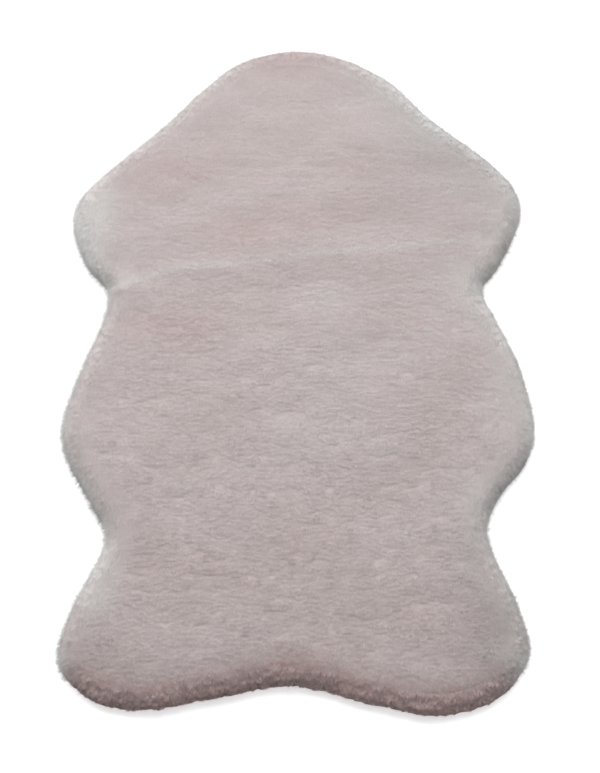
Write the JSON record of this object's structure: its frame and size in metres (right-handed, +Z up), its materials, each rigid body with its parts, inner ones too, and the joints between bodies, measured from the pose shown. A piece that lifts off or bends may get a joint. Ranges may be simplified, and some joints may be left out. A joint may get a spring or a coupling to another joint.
{
  "type": "plush shag rug cut to a hide outline",
  "caption": "Flat rug of short dense plush pile, cut to the wavy outline of a hide with a domed head, rounded shoulders, drawn-in waist and splayed rounded feet.",
  "frame": {"origin": "middle of the underside, on the floor, at the centre of the rug's width and length", "axes": "+Z up from the floor through the pile, +Y along the rug's length towards its domed head, +X across its width"},
  "size_m": [0.6, 0.9, 0.0313],
  "materials": {
    "pile": "short dense plush pile, dusty pink, greyer and paler at the rim, very matt with a soft sheen"
  },
  "bodies": {
    "root": {"rug": "pile"}
  },
  "joints": []
}
